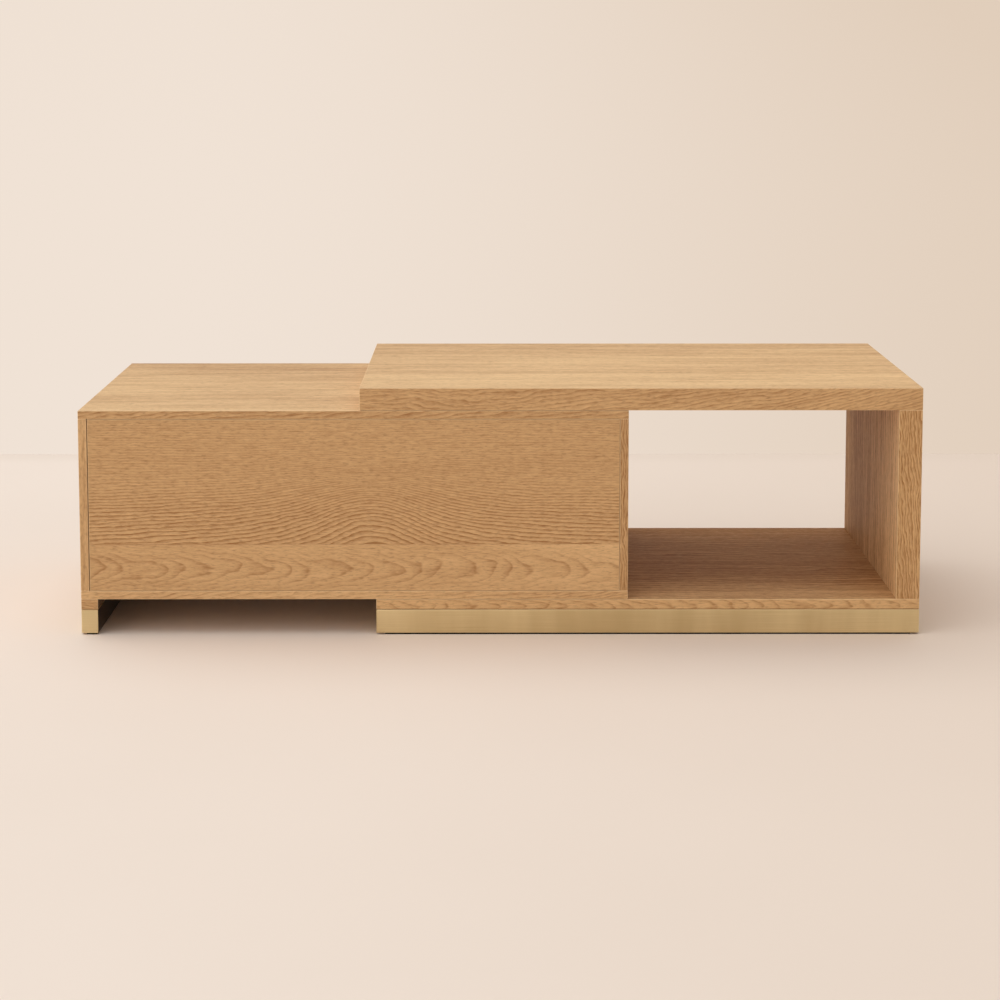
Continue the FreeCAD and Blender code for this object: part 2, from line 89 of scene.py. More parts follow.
class OakSettings(bpy.types.PropertyGroup):
    """Oiled oak veneer."""

    light: tone_property("Light", "Palest wood between the growth lines", 231, 189, 137)
    # Painted light: faces that look up take this paler colour, as if lit from above.
    lit_paler: tone_property("Yellowed", "Palest wood of the tops, yellowed by daylight", 232, 195, 144)
    dark: tone_property("Dark", "Wood in the growth lines", 163, 114, 68)
    pore: tone_property("Pores", "Open pores", 112, 73, 40)
    # Painted highlight: eased edges are tinted towards this pale colour, as if they caught the light.
    edge: tone_property("Edges", "Eased edges, rubbed pale", 250, 222, 176)
    # Painted shade: the inner face of the foot, in the shade under the box, is darkened with this colour.
    painted_shade: tone_property("Stain", "Dark stain on the inner face of the foot", 66, 50, 36)
    leaf_width: setting(LENGTH, "Leaf width", "Width of one veneer leaf on the tops", 0.118)
    line_gap: setting(LENGTH, "Line gap", "Distance between two growth lines of straight grain", 0.0062)
    arch_gap: setting(LENGTH, "Arch gap", "Distance between two arches of flat-cut grain", 0.046)
    seam_height: setting(
        LENGTH, "Seam height", "Height of the seam between the two leaves of the front", 0.1647,
    )
    swell_place: setting(PLACE, "Swell place", "Where along the table the front's grain swells", -0.228)
    swell_height: setting(LENGTH, "Swell height", "How far the swell lifts the grain", 0.088)
    roughness: setting(SHARE, "Roughness", "Roughness of the oiled face", 0.55)
    pore_depth: setting(LENGTH, "Pore depth", "Depth of the open pores", 0.0003)


class BoxWoodSettings(bpy.types.PropertyGroup):
    """Plain woods inside the table."""

    birch: tone_property("Drawer wood", "Lacquered birch of the drawer's box", 224, 197, 158)
    birch_dark: tone_property("Drawer wood lines", "Growth lines of the birch", 199, 166, 124)
    pine: tone_property("Frame wood", "Pine of the plinth rails", 214, 178, 130)
    pine_dark: tone_property("Frame wood lines", "Growth lines of the pine", 172, 126, 78)
    line_gap: setting(LENGTH, "Line gap", "Distance between two growth lines", 0.009)
    roughness: setting(SHARE, "Roughness", "Roughness of the planed wood", 0.5)


class MetalSettings(bpy.types.PropertyGroup):
    """Brass, aluminium and steel."""

    brass: tone_property("Brass", "Brushed brass", 232, 213, 168)
    brass_dark: tone_property("Brass shade", "Shaded bands of the brushing", 200, 178, 134)
    # Painted shade: the inner face of the foot's sleeve, in the shade under the box, takes this dark colour.
    painted_shade_brass: tone_property("Bronzed face", "Dark inner face of the foot", 74, 58, 40)
    aluminium: tone_property("Aluminium", "Drawn aluminium track", 200, 201, 203)
    steel: tone_property("Zinc-plated steel", "Runners, balls and screws", 186, 190, 196)
    steel_dark: tone_property("Zinc crystals", "Darker crystals of the plating", 150, 155, 163)
    brass_roughness: setting(SHARE, "Brass roughness", "Roughness across the brushing", 0.38)
    track_roughness: setting(SHARE, "Aluminium roughness", "Roughness of the track", 0.34)
    steel_roughness: setting(SHARE, "Steel roughness", "Roughness of the plating", 0.3)


class PlasticSettings(bpy.types.PropertyGroup):
    """Nylon, plastic and rubber parts."""

    nylon: tone_property("Nylon", "Shoes, strips, stops and guide block", 226, 222, 210)
    latch: tone_property("Latch", "Push latches", 120, 122, 124)
    # Near-black: partly the glides' own colour, partly painted shade for the contact shadow under the plinth.
    glide: tone_property("Glides", "Glide strips under the plinth and the foot", 9, 7, 6)
    rubber: tone_property("Rubber", "Bumpers", 176, 150, 116)
    roughness: setting(SHARE, "Roughness", "Roughness of the moulded faces", 0.48)
    rubber_roughness: setting(SHARE, "Rubber roughness", "Roughness of the bumpers", 0.7)


class FastenerSettings(bpy.types.PropertyGroup):
    """Small countersunk screws."""

    head_radius: setting(LENGTH, "Head radius", "Radius of a screw head", 0.0036)
    head_depth: setting(LENGTH, "Head depth", "Depth of the countersunk head", 0.0020)
    recess_length: setting(LENGTH, "Recess length", "Length of the cross recess", 0.0042)
    recess_width: setting(LENGTH, "Recess width", "Width of the cross recess", 0.0009)
    recess_depth: setting(LENGTH, "Recess depth", "Depth of the cross recess", 0.0012)
    proud: setting(LENGTH, "Stand-off", "How far a head stands proud of its face", 0.0001)
    facets: IntProperty(name="Facets", description="Facets round a screw head", default=20, min=8, max=64)


class StageSettings(bpy.types.PropertyGroup):
    """Floor, lamps and camera."""

    # Painted shade: the floor and the backdrop darken from their colour on the left to their shade on the
    # right.
    floor: tone_property("Floor", "Colour of the floor on the left", 238, 225, 214)
    floor_shade: tone_property("Floor shade", "Colour of the floor on the right", 223, 206, 191)
    wall: tone_property("Backdrop", "Colour of the backdrop on the left", 240, 226, 213)
    wall_shade: tone_property("Backdrop shade", "Colour of the backdrop on the right", 225, 206, 187)
    wall_place: setting(
        LENGTH, "Backdrop place", "How far behind the table's middle the backdrop stands", 1.49,
    )
    reach: setting(LENGTH, "Reach", "How far the floor and the backdrop run", 7.0)
    shade_from: setting(
        PLACE, "Shade from", "Where along the table the floor and the backdrop begin to darken", -0.9,
    )
    shade_to: setting(PLACE, "Shade to", "Where along the table they reach their shade", 1.8)
    ambient: setting(STRENGTH, "Ambient", "Mean strength of the even light", 0.52)
    ambient_front: setting(NUMBER, "Front light", "How much stronger the even light is from the front", 0.12)
    ambient_left: setting(NUMBER, "Left light", "How much stronger the even light is from the left", 0.14)
    key_power: setting(STRENGTH, "Key light", "Strength of the soft lamp", 1.53)
    low_power: setting(STRENGTH, "Low light", "Strength of the low lamp at the front left", 0.36)
    key_spread: setting(ANGLE, "Key spread", "How wide the soft lamp looks", math.radians(75))
    camera_place: FloatVectorProperty(
        name="Camera", description="Where the camera stands", default=(-0.0089, -4.2552, 1.0517),
        subtype="TRANSLATION", unit="LENGTH", size=3,
    )
    camera_pitch: setting(ANGLE, "Pitch", "How far the camera looks down", math.radians(5.962))
    camera_yaw: setting(ANGLE, "Yaw", "How far the camera looks to the right", math.radians(0.119))
    lens: setting(LENS, "Lens", "Focal length on a 36 mm frame", 81.21)
    shift: setting(NUMBER, "Shift", "Drop of the frame, as a share of its width", -0.22)


SETTINGS = {
    "table_oak": OakSettings,
    "table_box_wood": BoxWoodSettings,
    "table_metal": MetalSettings,
    "table_plastic": PlasticSettings,
    "table_fasteners": FastenerSettings,
    "table_stage": StageSettings,
}


class Reading:
    """A number that varies over a surface. Sums on readings become Math nodes."""

    def __init__(self, finish, socket):
        self.finish = finish
        self.socket = socket

    def math(self, operation, *terms):
        inputs = dict(enumerate((self, *terms)))
        return self.finish.read("ShaderNodeMath", {"operation": operation}, inputs)

    def __add__(self, other):
        return self.math("ADD", other)

    __radd__ = __add__

    def __sub__(self, other):
        return self.math("SUBTRACT", other)

    def __rsub__(self, other):
        return (self * -1) + other

    def __mul__(self, other):
        return self.math("MULTIPLY", other)

    __rmul__ = __mul__

    def __truediv__(self, other):
        return self.math("DIVIDE", other)

    def __rtruediv__(self, other):
        return (self ** -1) * other

    def __pow__(self, other):
        return self.math("POWER", other)

    def __abs__(self):
        return self.math("ABSOLUTE")

    def __gt__(self, other):
        return self.math("GREATER_THAN", other)

    def __lt__(self, other):
        return self.math("LESS_THAN", other)

    def fraction(self):
        return self.math("FRACT")

    def floor(self):
        return self.math("FLOOR")

    def most(self, other):
        return self.math("MAXIMUM", other)

    def centred(self):
        """A noise of 0 to 1 as -0.5 to 0.5."""
        return self - 0.5

    def between(self, low, high):
        """0 below low and 1 above high, with a soft change between them."""
        inputs = {"Value": self, "From Min": low, "From Max": high}
        return self.finish.read("ShaderNodeMapRange", {"interpolation_type": "SMOOTHSTEP"}, inputs, "Result")


class Nodes:
    """The nodes of a material or of the world, laid down one by one."""

    def __init__(self, owner):
        owner.use_nodes = True
        self.tree = owner.node_tree
        self.tree.nodes.clear()
        self.place = self.add("ShaderNodeTexCoord")

    def add(self, kind, settings=None, inputs=None):
        node = self.tree.nodes.new(kind)
        for name, value in (settings or {}).items():
            setattr(node, name, value)
        for name, value in (inputs or {}).items():
            if isinstance(value, Reading):
                self.tree.links.new(value.socket, node.inputs[name])
            else:
                node.inputs[name].default_value = value
        return node

    def read(self, kind, settings=None, inputs=None, output=0):
        return Reading(self, self.add(kind, settings, inputs).outputs[output])

    def parts(self, output):
        """The three parts of one of the texture coordinates."""
        node = self.add("ShaderNodeSeparateXYZ", None, {0: Reading(self, self.place.outputs[output])})
        return [Reading(self, socket) for socket in node.outputs]

    def mix(self, first, second, share):
        inputs = {6: colour_of(first), 7: colour_of(second), 0: share}
        return self.read("ShaderNodeMix", {"data_type": "RGBA"}, inputs, 2)


# Marks on a face: changes per metre along and across the grain, an offset that keeps one kind apart from
# another, and the detail and roughness of the noise.
MARKS = {
    "wander": (2.3, 9.0, 0.0, 2.0),
    "waves": (17.0, 42.0, 4.0, 2.0),
    "front wander": (2.0, 7.0, 0.0, 2.0),
    "front waves": (22.0, 55.0, 4.0, 2.0),
    "broken lines": (70.0, 160.0, 2.0, 2.0),
    "clouds": (1.6, 12.0, 8.0, 2.0),
    "bands": (4.0, 62.0, 10.0, 3.0, 0.6),
    "streaks": (28.0, 240.0, 12.0, 4.0, 0.70),
    "fibres": (75.0, 900.0, 17.0, 2.0, 0.6),
    "dashes": (85.0, 1.0, 23.0, 1.0),
    "plain wander": (2.6, 12.0, 0.0, 2.0),
    "plain streaks": (9.0, 260.0, 3.0, 4.0, 0.6),
    "brush strokes": (7.0, 1500.0, 1.0, 3.0, 0.6),
    "brush bands": (13.0, 2.0, 6.0, 3.0, 0.55),
    "apex sway": (7.0, 0.0, 2.0, 2.0),
    "arch unevenness": (11.0, 9.0, 14.0, 2.0),
    "brass cast": (2.2, 3.0, 9.0, 1.0),
    "floor clouds": (1.2, 1.2, 0.0, 2.0),
}

# Textures that run through a piece: changes per metre along each axis, and detail and roughness.
TEXTURES = {
    "die lines": ((2.0, 2400.0, 2400.0), 3.0, 0.6),
    "aluminium film": ((30.0, 60.0, 60.0), 2.0),
    "rolling": ((500.0, 8.0, 500.0), 3.0, 0.6),
    "oil film": ((25.0, 12.0, 25.0), 2.0),
    "flow": ((20.0, 20.0, 20.0), 2.0),
    "fine sparks": ((900.0, 900.0, 900.0), 2.0),
    "coarse sparks": ((500.0, 500.0, 500.0), 2.0),
}


class Finish(Nodes):
    """A material with one shader."""

    def __init__(self, name):
        self.material = bpy.data.materials.new(name)
        super().__init__(self.material)

    def noise(self, place, detail=2.0, roughness=0.5):
        vector = self.read("ShaderNodeCombineXYZ", None, dict(enumerate(place)))
        inputs = {"Vector": vector, "Scale": 1.0, "Detail": detail, "Roughness": roughness}
        return self.read("ShaderNodeTexNoise", None, inputs)

    def marks(self, kind, face):
        """Noise on a face, given as the place along and across the grain and a layer for another pattern."""
        times_along, times_across, offset, *fractal = MARKS[kind]
        along, across, layer = face
        return self.noise((along * times_along, across * times_across, layer + offset), *fractal)

    def texture(self, kind):
        """Noise that runs through a whole piece."""
        scales, *fractal = TEXTURES[kind]
        return self.noise([part * scale for part, scale in zip(self.parts("Object"), scales)], *fractal)

    def chance(self, number):
        """A random number from 0 to 1 for each whole number."""
        return self.read("ShaderNodeTexWhiteNoise", {"noise_dimensions": "1D"}, {"W": number})

    def surface(self, inputs, height=None, depth=0.0, strength=1.0):
        """Closes the material with its shader, and with a bump where it has a height."""
        inputs = dict(inputs)
        if height is not None:
            bump = {"Height": height, "Distance": depth, "Strength": strength}
            inputs["Normal"] = self.read("ShaderNodeBump", None, bump)
        shader = self.read("ShaderNodeBsdfPrincipled", None, inputs)
        self.add("ShaderNodeOutputMaterial", None, {"Surface": shader})
        return self.material


def colour_of(value):
    return value if isinstance(value, Reading) else (*value, 1.0)


def blend(share, first, second):
    """The first value where the share is 0, and the second where it is 1."""
    return first if second == first else first + share * (second - first)


def pick(masks, values):
    """One of the values by the way the face looks: forwards, upwards, sideways or, if given, to the right."""
    forwards, upwards, sideways, *rightwards = values
    result = forwards
    for mask, value, base in zip(masks, (upwards, sideways, *rightwards), (forwards, forwards, sideways)):
        if value != base:
            result = result + mask * (value - base)
    return result


# How far a normal goes along an axis: on eased edges, on flat faces, and on edges that look down.
EASED_BELOW = 0.95
FLAT_ABOVE = 0.8
LOWER_BELOW = -0.3


def facing(finish):
    """Masks of the ways that faces look, and of all eased edges and the lower ones.

    The ways are upwards or downwards, sideways, and to the right.
    """
    normal = finish.parts("Normal")
    across, forwards, upwards = (abs(part) for part in normal)
    eased = across.most(forwards).most(upwards) < EASED_BELOW
    ways = (upwards > FLAT_ABOVE, across > FLAT_ABOVE, normal[0] > FLAT_ABOVE)
    return ways, eased, eased * (normal[2] < LOWER_BELOW)


def inward(finish):
    """The faces that look towards the table's middle from the foot."""
    return finish.parts("Normal")[0] > FLAT_ABOVE


# Which way the grain runs on a board: the axes along and across it, for faces that look forwards,
# upwards and sideways.
LENGTHWAYS = (("x", "z"), ("x", "y"), ("y", "z"))
CROSSWAYS = (("x", "z"), ("y", "x"), ("y", "z"))
UPRIGHT = (("z", "x"), ("y", "x"), ("z", "y"))


def on_face(finish, masks, directions=LENGTHWAYS):
    """The place along and across the grain of a face."""
    axes = dict(zip("xyz", finish.parts("Object")))
    return [pick(masks, [axes[name] for name in names]) for names in zip(*directions)]


# How the growth lines run on a face, and how strong the marks between them are.
PLAIN_FIGURE = dict(
    lean=0.0,  # how far the lines lean out of the board's direction
    bend=0.0,  # how far they bend out of it
    along=0.0,  # lines per line gap along the grain
    across=0.8,  # lines per line gap across the grain
    arch=0.0,  # how fast the lines curve into arches
    wander=1.6,  # how far they stray over long distances
    waves=0.5,  # how far they stray over short distances
    thin=2.0,  # how thin they are
    drop=0.92,  # where in its period a line ends
    clear=0.16,  # how clear they are
    streak=0.60,  # strength of the streaks
    bands=0.3,  # strength of the bands
    clouds=0.3,  # strength of the clouds
    fleck=430.0,  # dashes per metre across the grain
)


def figure(**changes):
    return {**PLAIN_FIGURE, **changes}


FIGURES = {
    "straight": figure(bands=0.7, clouds=0.5, fleck=270.0),
    "quiet": figure(
        across=0.5, wander=2.0, waves=0.45, thin=1.8, clear=0.36,
        streak=0.65, bands=0.50, clouds=0.4, fleck=270.0,
    ),
    "broad": figure(
        across=0.36, wander=0.9, waves=0.2, thin=1.5, clear=0.44, bands=0.80, clouds=0.5, fleck=270.0,
    ),
    "slanted": figure(
        lean=-0.02, bend=-0.16, across=1.0, wander=2.8, waves=1.1, thin=1.8, clear=0.26,
    ),
    "leaning": figure(lean=-0.10, wander=2.4, waves=1.1, thin=2.2, clear=0.30),
    "wavy": figure(
        lean=0.04, across=1.25, wander=1.9, waves=2.2, thin=1.9, clear=0.43, streak=0.70, bands=0.25,
    ),
    "arches": figure(
        along=0.17, across=0.0, arch=36.0, wander=2.0, waves=1.0, thin=3.2, drop=0.82, clear=0.42,
    ),
}

# The two leaves of the drawer front.
UPPER_LEAF = dict(thin=2.6, drop=0.92, clear=0.16, streak=0.60, bands=0.12, clouds=0.12, fleck=430.0)
LOWER_LEAF = dict(thin=2.8, drop=0.80, clear=0.14, streak=0.48, bands=0.27, clouds=0.52, fleck=430.0)

# How much each kind of mark shades, roughens and raises a finish. A pair says where a noise or a height
# begins to count and where it counts in full. Lengths are in metres.
VENEER = Values(
    wander_lines=4.0, wave_lines=2.0, face_layers=(0.0, 31.0, 67.0),
    leaf_faces=(0.0, 1.0, 1.0), leaf_layer=5.3, leaf_shade=0.16,
    whole=(0.25, 0.70), broken_line=0.60, more_where_whole=0.9, pores=(0.55, 0.70), pores_lost=0.6,
    dark_dashes=(0.54, 0.74), pale_dashes=(0.55, 0.75), shades=(-0.15, 1.15), contrast=1.35, shade=0.34,
    pore_tint=0.40, dash_tint=0.28, edge_tint=0.5, stain_tint=0.9, streak_roughness=0.12,
    pore_roughness=0.14, line_height=0.25, streak_height=0.4, bump=0.35,
)
FRONT = Values(
    layers=(3.0, 12.0), swell_width=0.125, swell_fade=(0.04, 0.20), coarse_fade=(0.05, 0.13),
    first_gap=1.22, closing=1.5, wander_lines=4.6, wave_lines=0.45, coarse_wave_lines=0.65,
    apex=0.120, apex_sway=0.05, arch=100.0, arch_wander=0.12, arch_waves=0.040, arch_unevenness=0.125,
    tip=(0.004, 0.034), seam=(0.0, 0.0011), upper_coarse=0.36, lower_coarse=0.02, tip_clear=0.24,
    seam_shade=0.25, coarse_shade=0.05, shade=0.05, lower_shade=0.02, lower_fade=0.21, fade_from=-0.30,
)
PLAIN_WOOD = Values(
    wander_lines=5.0, line_end=0.9, line_shade=0.55, streak_shade=0.7, shade=0.2, edge_tint=0.5,
    streak_roughness=0.2, line_height=0.3, depth=0.00015, bump=0.3,
)
BRASS = Values(
    stroke_shade=0.7, band_shade=1.1, cast_shade=1.4, edge_tint=0.8, stroke_roughness=0.25,
    band_roughness=0.10, depth=0.00004, bump=0.4,
)
ALUMINIUM = Values(
    line_shade=0.8, shade=0.25, line_roughness=0.2, film_roughness=0.12, depth=0.00003, bump=0.35,
)
ZINC = Values(
    crystals=420.0, crystal_shade=0.45, rolling_shade=0.5, crystal_roughness=0.08, film_roughness=0.2,
    depth=0.00002, bump=0.3,
)
MOULDED = Values(
    shades=(0.3, 0.9), flow_shade=0.7, spark_shade=0.5, flow_roughness=0.12, spark_roughness=0.16,
    depth=0.00008, bump=0.3,
)


def growth_lines(finish, oak, figures, masks, face, middle):
    """Counts the growth lines. Gives the face with its grain leaned and bent, the count and the figure."""
    part = {key: pick(masks, [FIGURES[name][key] for name in figures]) for key in PLAIN_FIGURE}
    along, across, layer = face
    across = across + along * part["lean"] + along * along * part["bend"]
    face = (along, across, layer)
    wander = finish.marks("wander", face).centred() * (part["wander"] * VENEER.wander_lines)
    waves = finish.marks("waves", face).centred() * (part["waves"] * VENEER.wave_lines)
    scale = 1 / oak.line_gap
    from_middle = across - middle
    count = along * (part["along"] * scale) + from_middle * (part["across"] * scale)
    count = count + from_middle * from_middle * (part["arch"] * scale)
    return face, count + wander + waves, part


def lay_veneer(finish, oak, face, count, part, edges, tone, pale, gloss=0.2, shadow=0.0, shade_inner_face=None):
    """Colours the wood from its growth lines, streaks and pores, and closes the material."""
    look = VENEER
    late = count.fraction()
    whole = finish.marks("broken lines", face).between(*look.whole)
    line = late ** part["thin"] * (1 - late.between(part["drop"], 1.0))
    line = line * (look.broken_line + whole * look.more_where_whole)
    clouds, bands, streaks = (finish.marks(kind, face).centred() for kind in ("clouds", "bands", "streaks"))
    pores = finish.marks("fibres", face).between(*look.pores) * (1 - late * look.pores_lost)
    along, across, layer = face
    dashes = finish.marks("dashes", (along, across * part["fleck"], layer))
    depth = clouds * part["clouds"] + bands * part["bands"] + streaks * part["streak"] + line * part["clear"]
    shade = (depth * look.contrast + (tone + look.shade)).between(*look.shades)
    wood = finish.mix(pale, oak.dark, shade)
    wood = finish.mix(wood, oak.pore, pores * look.pore_tint)
    wood = finish.mix(wood, oak.pore, dashes.between(*look.dark_dashes) * look.dash_tint)
    wood = finish.mix(wood, oak.light, (1 - dashes).between(*look.pale_dashes) * look.dash_tint)
    # Painted highlight on all eased edges, then painted shadow on the lower ones in the colour of the pores.
    wood = finish.mix(wood, oak.edge, edges[0] * look.edge_tint)
    if shadow:
        wood = finish.mix(wood, oak.pore, edges[1] * shadow)
    # Painted shade on the faces of the foot that look inward, under the box.
    if shade_inner_face:
        wood = finish.mix(wood, oak.painted_shade, shade_inner_face * look.stain_tint)
    inputs = {
        "Base Color": wood,
        "Roughness": oak.roughness + streaks * look.streak_roughness + pores * look.pore_roughness,
        "Specular IOR Level": gloss,
    }
    height = line * look.line_height - pores + streaks * look.streak_height
    return finish.surface(inputs, height, oak.pore_depth, look.bump)


def oak_board(
    name, oak, directions, figures, seed, middles=(0.0, 0.0, 0.0), tones_and_shading=(0.0, -0.06, 0.0),
    back_shades=(0.0, 0.25, 0.25), leaves=True, gloss=0.2, shadow=0.0, shade_inner_face=False, lamplight=True,
):
    """Veneer on all faces of a board.

    Figures, the middles that arches lie round, tones and back shades are given for faces that look forwards,
    upwards, sideways and, if need be, to the right. A tone darkens a face: partly the board's own tone,
    partly painted light and shade by the way the face looks, such as paler tops and a darker base board in
    the bay. A back shade is painted shade that darkens a face for each metre to the back. A shadow is painted
    shade on the lower eased edges.
    """
    finish = Finish(name)
    masks, *edges = facing(finish)
    along, across = on_face(finish, masks, directions)
    layer = pick(masks, [seed + more for more in VENEER.face_layers])
    # The tone mixes the board's own tone with painted light and shade by the way each face looks, and with
    # painted shade that deepens to the back.
    tone = pick(masks, tones_and_shading) + finish.parts("Object")[1] * pick(masks, back_shades)
    if leaves:
        leaf = (across / oak.leaf_width).floor() * pick(masks, VENEER.leaf_faces)
        layer = layer + leaf * VENEER.leaf_layer
        tone = tone + finish.chance(leaf + seed).centred() * VENEER.leaf_shade
    face = (along, across, layer)
    face, count, part = growth_lines(finish, oak, figures, masks, face, pick(masks, middles))
    # The inner face of the foot is darkened: painted shade.
    shaded_faces = inward(finish) if shade_inner_face else None
    # Painted light: faces that look up take the paler colour; the base board in the bay keeps the plain one.
    pale = finish.mix(oak.light, oak.lit_paler, masks[0]) if lamplight else oak.light
    return lay_veneer(finish, oak, face, count, part, edges, tone, pale, gloss, shadow, shaded_faces)


def oak_front(name, oak):
    """The drawer front: a straight leaf with a swell in its grain above a leaf of arches."""
    look = FRONT
    finish = Finish(name)
    masks, *edges = facing(finish)
    along, across = on_face(finish, masks)
    lower = finish.parts("Object")[2] < oak.seam_height
    face = (along, across, blend(lower, *look.layers))
    wander = finish.marks("front wander", face).centred()
    waves = finish.marks("front waves", face).centred()
    above_seam = across - oak.seam_height
    coarse = 1 - above_seam.between(*look.coarse_fade)
    from_swell = (along - oak.swell_place) / look.swell_width
    swell = oak.swell_height * (1 - above_seam.between(*look.swell_fade)) / (from_swell * from_swell + 1)
    rise = above_seam - swell
    upper_count = rise / (oak.line_gap * look.first_gap) + rise * rise * (look.closing / oak.line_gap)
    waviness = look.wave_lines + coarse * look.coarse_wave_lines
    upper_count = upper_count + wander * look.wander_lines + waves * waviness
    sway = finish.marks("apex sway", (along, across, 0.0)).centred()
    uneven = finish.marks("arch unevenness", (along, across, 0.0)).centred()
    from_apex = across - (look.apex + sway * look.apex_sway)
    arch = along + from_apex * from_apex * look.arch + wander * look.arch_wander
    arch = arch + waves * look.arch_waves + uneven * look.arch_unevenness
    count = blend(lower, upper_count, arch / oak.arch_gap)
    tip = 1 - abs(from_apex).between(*look.tip)
    seam = 1 - abs(above_seam).between(*look.seam)
    part = {key: blend(lower, value, LOWER_LEAF[key]) for key, value in UPPER_LEAF.items()}
    coarse_clear = blend(lower, look.upper_coarse, look.lower_coarse)
    part["clear"] = part["clear"] + coarse * coarse_clear + lower * tip * look.tip_clear
    lower_tone = lower * ((along - look.fade_from) * look.lower_fade + look.lower_shade)
    tone = seam * look.seam_shade - coarse * look.coarse_shade - lower_tone + look.shade
    return lay_veneer(finish, oak, face, count, part, edges, tone, oak.light)


def plain_wood(name, light, dark, wood, directions, seed):
    """Planed or lacquered solid wood with quiet growth lines."""
    look = PLAIN_WOOD
    finish = Finish(name)
    masks, eased, _ = facing(finish)
    along, across = on_face(finish, masks, directions)
    face = (along, across, seed)
    wander = finish.marks("plain wander", face).centred()
    late = (across / wood.line_gap + wander * look.wander_lines).fraction()
    streaks = finish.marks("plain streaks", face)
    line = late * late * (1 - late.between(look.line_end, 1.0))
    shade = line * look.line_shade + streaks.centred() * look.streak_shade + look.shade
    colour = finish.mix(light, dark, shade.between(0.0, 1.0))
    # Eased edges are tinted towards the pale wood: a painted highlight.
    inputs = {
        "Base Color": finish.mix(colour, light, eased * look.edge_tint),
        "Roughness": wood.roughness + streaks.centred() * look.streak_roughness,
    }
    return finish.surface(inputs, line * look.line_height + streaks, look.depth, look.bump)


def brushed_brass(name, metal, shade, shade_brass_inner_face=False):
    """Brass that is brushed along each face, with soft bands across it and a painted highlight on its eased
    edges.
    """
    look = BRASS
    finish = Finish(name)
    masks, eased, _ = facing(finish)
    face = (*on_face(finish, masks), 0.0)
    kinds = ("brush strokes", "brush bands", "brass cast")
    strokes, bands, cast = (finish.marks(kind, face).centred() for kind in kinds)
    shade = strokes * look.stroke_shade + bands * look.band_shade + cast * look.cast_shade + shade
    colour = finish.mix(metal.brass, metal.brass_dark, shade.between(0.0, 1.0))
    # Painted highlight on the eased edges.
    colour = finish.mix(colour, metal.brass, eased * look.edge_tint)
    # Painted shade on the sleeve's inner face, under the box.
    if shade_brass_inner_face:
        colour = finish.mix(colour, metal.painted_shade_brass, inward(finish))
    inputs = {
        "Base Color": colour,
        "Metallic": 1.0,
        "Roughness": metal.brass_roughness + strokes * look.stroke_roughness + bands * look.band_roughness,
    }
    return finish.surface(inputs, strokes, look.depth, look.bump)


def drawn_aluminium(name, metal):
    """Extruded aluminium with fine die lines along the track."""
    look = ALUMINIUM
    finish = Finish(name)
    die_lines = finish.texture("die lines")
    lines = die_lines.centred()
    film = finish.texture("aluminium film").centred()
    inputs = {
        "Base Color": finish.mix(metal.aluminium, metal.steel_dark, lines * look.line_shade + look.shade),
        "Metallic": 1.0,
        "Roughness": metal.track_roughness + lines * look.line_roughness + film * look.film_roughness,
    }
    return finish.surface(inputs, die_lines, look.depth, look.bump)


def zinc_plate(name, metal):
    """Steel plated with zinc: small crystals of slightly different grey, with a thin oil film."""
    look = ZINC
    finish = Finish(name)
    point = Reading(finish, finish.place.outputs["Object"])
    crystals = finish.read("ShaderNodeTexVoronoi", None, {"Vector": point, "Scale": look.crystals}, "Color")
    crystal = finish.read("ShaderNodeSeparateColor", None, {0: crystals})
    rolling = finish.texture("rolling")
    film = finish.texture("oil film").centred()
    shade = crystal * look.crystal_shade + rolling.centred() * look.rolling_shade
    inputs = {
        "Base Color": finish.mix(metal.steel, metal.steel_dark, shade.between(0.0, 1.0)),
        "Metallic": 1.0,
        "Roughness": metal.steel_roughness + crystal * look.crystal_roughness + film * look.film_roughness,
    }
    return finish.surface(inputs, rolling, look.depth, look.bump)


def moulded(name, tone, roughness, sparks="fine sparks", dark_share=0.82, gloss=0.5):
    """Moulded plastic or rubber with a spark-eroded texture and a little dust."""
    look = MOULDED
    finish = Finish(name)
    texture = finish.texture(sparks)
    flow = finish.texture("flow")
    darker = tuple(part * dark_share for part in tone)
    shade = (flow * look.flow_shade + texture * look.spark_shade).between(*look.shades)
    varied = texture.centred() * look.spark_roughness + flow.centred() * look.flow_roughness
    inputs = {
        "Base Color": finish.mix(tone, darker, shade),
        "Roughness": roughness + varied,
        "Specular IOR Level": gloss,
    }
    return finish.surface(inputs, texture, look.depth, look.bump)


def dress(material, *names):
    """Gives CAD pieces a finish through their material slots."""
    for name in names:
        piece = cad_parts[name]
        if not piece.material_slots:
            raise RuntimeError(f"{name} has no material slot")
        for slot in piece.material_slots:
            slot.material = material


def both(ending):
    return ["left_" + ending, "right_" + ending]


